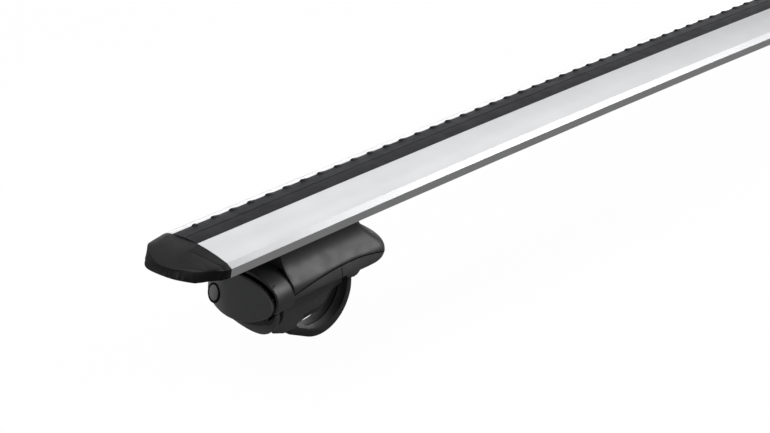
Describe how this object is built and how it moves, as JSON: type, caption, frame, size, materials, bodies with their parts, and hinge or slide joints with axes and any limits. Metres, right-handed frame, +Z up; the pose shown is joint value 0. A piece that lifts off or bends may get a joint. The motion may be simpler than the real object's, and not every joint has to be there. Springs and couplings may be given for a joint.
{
  "type": "roof rack crossbar",
  "caption": "Silver wing-profile roof bar with a ribbed rubber strip, rounded end caps and dark strap feet for raised roof rails.",
  "frame": {"origin": "middle of the bounding box, on the plane that the two straps stand on", "axes": "+X along the bar, +Y to the leading edge, +Z up"},
  "size_m": [1.1796, 0.0826, 0.1274],
  "materials": {
    "silver": "satin anodised",
    "strip_rubber": "matte",
    "cap_black": "fine grain",
    "casing_black": "fine grain",
    "casting_black": "fine grain",
    "cover_grey": "satin",
    "ring_black": "gloss",
    "pad_rubber": "matte",
    "strap_rubber": "matte",
    "steel": "zinc plated",
    "dark_steel": "black coat"
  },
  "bodies": {
    "root": {"bar_extrusion": "silver", "top_strip": "strip_rubber", "lower_slot_infill": "strip_rubber", "left_cap_base": "cap_black", "left_cap_pin": "steel", "left_shell": "casing_black", "left_body": "casting_black", "left_rail_pad": "pad_rubber", "left_bar_pad": "pad_rubber", "left_strap_pin": "steel", "left_chassis": "dark_steel", "left_crank_pin": "steel", "left_clamp_bolts": "steel", "left_clamp_nuts": "steel", "left_casing_screws": "steel", "left_collar": "casing_black", "left_chin": "casing_black", "left_cover_pin": "steel", "right_cap_base": "cap_black", "right_cap_pin": "steel", "right_shell": "casing_black", "right_body": "casting_black", "right_rail_pad": "pad_rubber", "right_bar_pad": "pad_rubber", "right_strap_pin": "steel", "right_chassis": "dark_steel", "right_crank_pin": "steel", "right_clamp_bolts": "steel", "right_clamp_nuts": "steel", "right_casing_screws": "steel", "right_collar": "casing_black", "right_chin": "casing_black", "right_cover_pin": "steel"},
    "left_flap": {"left_cap_flap": "cap_black"},
    "left_cover": {"left_oval_cover": "cover_grey", "left_lock_ring": "ring_black"},
    "left_lock": {"left_lock_barrel": "cover_grey"},
    "left_screw": {"left_tension_screw": "steel"},
    "left_nut": {"left_tension_nut": "steel"},
    "left_crank_pair": {"left_crank": "steel"},
    "left_strap": {"left_strap_band": "steel", "left_strap_sleeve": "strap_rubber", "left_strap_cross_pin": "steel"},
    "right_flap": {"right_cap_flap": "cap_black"},
    "right_cover": {"right_oval_cover": "cover_grey", "right_lock_ring": "ring_black"},
    "right_lock": {"right_lock_barrel": "cover_grey"},
    "right_screw": {"right_tension_screw": "steel"},
    "right_nut": {"right_tension_nut": "steel"},
    "right_crank_pair": {"right_crank": "steel"},
    "right_strap": {"right_strap_band": "steel", "right_strap_sleeve": "strap_rubber", "right_strap_cross_pin": "steel"}
  },
  "joints": [
    {"name": "left_flap_hinge", "type": "hinge", "parent": "root", "child": "left_flap", "pos_m": [-0.56119, 0.0031, 0.10443], "axis": [0, -1, 0], "range_deg": [0, 85]},
    {"name": "left_cover_hinge", "type": "hinge", "parent": "root", "child": "left_cover", "pos_m": [-0.50543, -0.0312, 0.0591], "axis": [0.2135, 0, 0.9769], "range_deg": [0, 95]},
    {"name": "left_lock_turn", "type": "hinge", "parent": "left_cover", "child": "left_lock", "pos_m": [-0.51169, 0.0271, 0.05535], "axis": [0.9574, -0.1992, -0.2093], "range_deg": [0, 90]},
    {"name": "left_screw_turn", "type": "hinge", "parent": "root", "child": "left_screw", "pos_m": [-0.50234, 0.0016, 0.05645], "axis": [0.9999, 0, 0.0127], "range_deg": [0, 3600]},
    {"name": "left_nut_slide", "type": "slide", "parent": "root", "child": "left_nut", "axis": [-0.9999, 0, -0.0127], "range_m": [0, 0.01]},
    {"name": "left_crank_hinge", "type": "hinge", "parent": "root", "child": "left_crank_pair", "pos_m": [-0.47975, 0.0016, 0.02573], "axis": [0, -1, 0], "range_deg": [0, 17.9]},
    {"name": "left_strap_hinge", "type": "hinge", "parent": "root", "child": "left_strap", "pos_m": [-0.39002, 0.0016, 0.04738], "axis": [0, 1, 0], "range_deg": [0, 3.87]},
    {"name": "right_flap_hinge", "type": "hinge", "parent": "root", "child": "right_flap", "pos_m": [0.56119, 0.0031, 0.10443], "axis": [0, 1, 0], "range_deg": [0, 85]},
    {"name": "right_cover_hinge", "type": "hinge", "parent": "root", "child": "right_cover", "pos_m": [0.50543, 0.0344, 0.0591], "axis": [-0.2135, 0, 0.9769], "range_deg": [0, 95]},
    {"name": "right_lock_turn", "type": "hinge", "parent": "right_cover", "child": "right_lock", "pos_m": [0.51169, -0.0239, 0.05535], "axis": [-0.9574, 0.1992, -0.2093], "range_deg": [0, 90]},
    {"name": "right_screw_turn", "type": "hinge", "parent": "root", "child": "right_screw", "pos_m": [0.50234, 0.0016, 0.05645], "axis": [-0.9999, 0, 0.0127], "range_deg": [0, 3600]},
    {"name": "right_nut_slide", "type": "slide", "parent": "root", "child": "right_nut", "axis": [0.9999, 0, -0.0127], "range_m": [0, 0.01]},
    {"name": "right_crank_hinge", "type": "hinge", "parent": "root", "child": "right_crank_pair", "pos_m": [0.47975, 0.0016, 0.02573], "axis": [0, 1, 0], "range_deg": [0, 17.9]},
    {"name": "right_strap_hinge", "type": "hinge", "parent": "root", "child": "right_strap", "pos_m": [0.39002, 0.0016, 0.04738], "axis": [0, -1, 0], "range_deg": [0, 3.87]}
  ],
  "couplings": [
    {"joint": "left_nut_slide", "follows": "left_screw_turn", "m_per_rad": 0.00015915},
    {"joint": "left_crank_hinge", "follows": "left_screw_turn", "ratio": 0.0049667},
    {"joint": "left_strap_hinge", "follows": "left_screw_turn", "ratio": 0.0010722},
    {"joint": "right_nut_slide", "follows": "right_screw_turn", "m_per_rad": 0.00015915},
    {"joint": "right_crank_hinge", "follows": "right_screw_turn", "ratio": 0.0049667},
    {"joint": "right_strap_hinge", "follows": "right_screw_turn", "ratio": 0.0010722}
  ]
}
